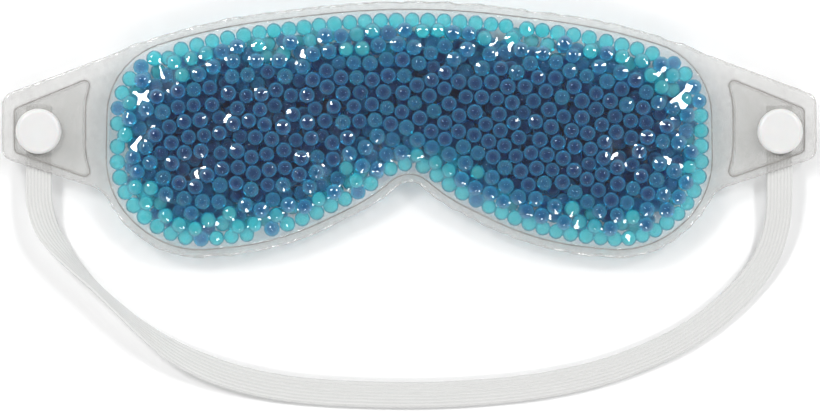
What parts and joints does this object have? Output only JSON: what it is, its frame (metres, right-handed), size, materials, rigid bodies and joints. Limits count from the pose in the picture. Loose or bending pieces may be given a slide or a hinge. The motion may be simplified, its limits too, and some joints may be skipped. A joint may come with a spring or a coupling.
{
  "type": "eye pillow",
  "caption": "Soft eye pillow: clear welded envelope of blue gel pearls with a nose notch, two side tabs, round snap buttons and an elastic head strap.",
  "frame": {"origin": "on the flat back of the envelope, midway between the two temples and 35 mm below the brow weld line", "axes": "+X along the mask towards the right tab, +Y towards the forehead edge, +Z out of the front face"},
  "size_m": [0.2292, 0.1146, 0.013],
  "materials": {
    "clear_film": "clear soft vinyl film, glossy and slightly warm",
    "gel_pearls": "translucent blue gel, wet gloss",
    "tab_insert": "clear stiff sheet, faintly grey-green",
    "button": "white moulded plastic, satin gloss",
    "elastic": "white ribbed knitted elastic, matte"
  },
  "bodies": {
    "envelope": {"front_film": "clear_film", "back_film": "clear_film", "back_pearls": "gel_pearls", "middle_pearls": "gel_pearls", "front_pearls": "gel_pearls", "left_tab_insert": "tab_insert", "right_tab_insert": "tab_insert", "left_strap_end": "elastic", "right_strap_end": "elastic"},
    "left_button": {"left_button_cap": "button", "left_button_disc": "button"},
    "right_button": {"right_button_cap": "button", "right_button_disc": "button"},
    "strap": {"elastic_strap": "elastic"}
  },
  "joints": [
    {"name": "left_button_turn", "type": "hinge", "parent": "envelope", "child": "left_button", "pos_m": [-0.1043, 0.0004, 0.00651], "axis": [0, 0, 1], "continuous": true},
    {"name": "right_button_turn", "type": "hinge", "parent": "envelope", "child": "right_button", "pos_m": [0.1043, 0.0004, 0.00651], "axis": [0, 0, 1], "continuous": true},
    {"name": "strap_swing", "type": "hinge", "parent": "envelope", "child": "strap", "pos_m": [0, -0.0135, 0.00546], "axis": [1, 0, 0], "range_deg": [-120, 100]}
  ]
}
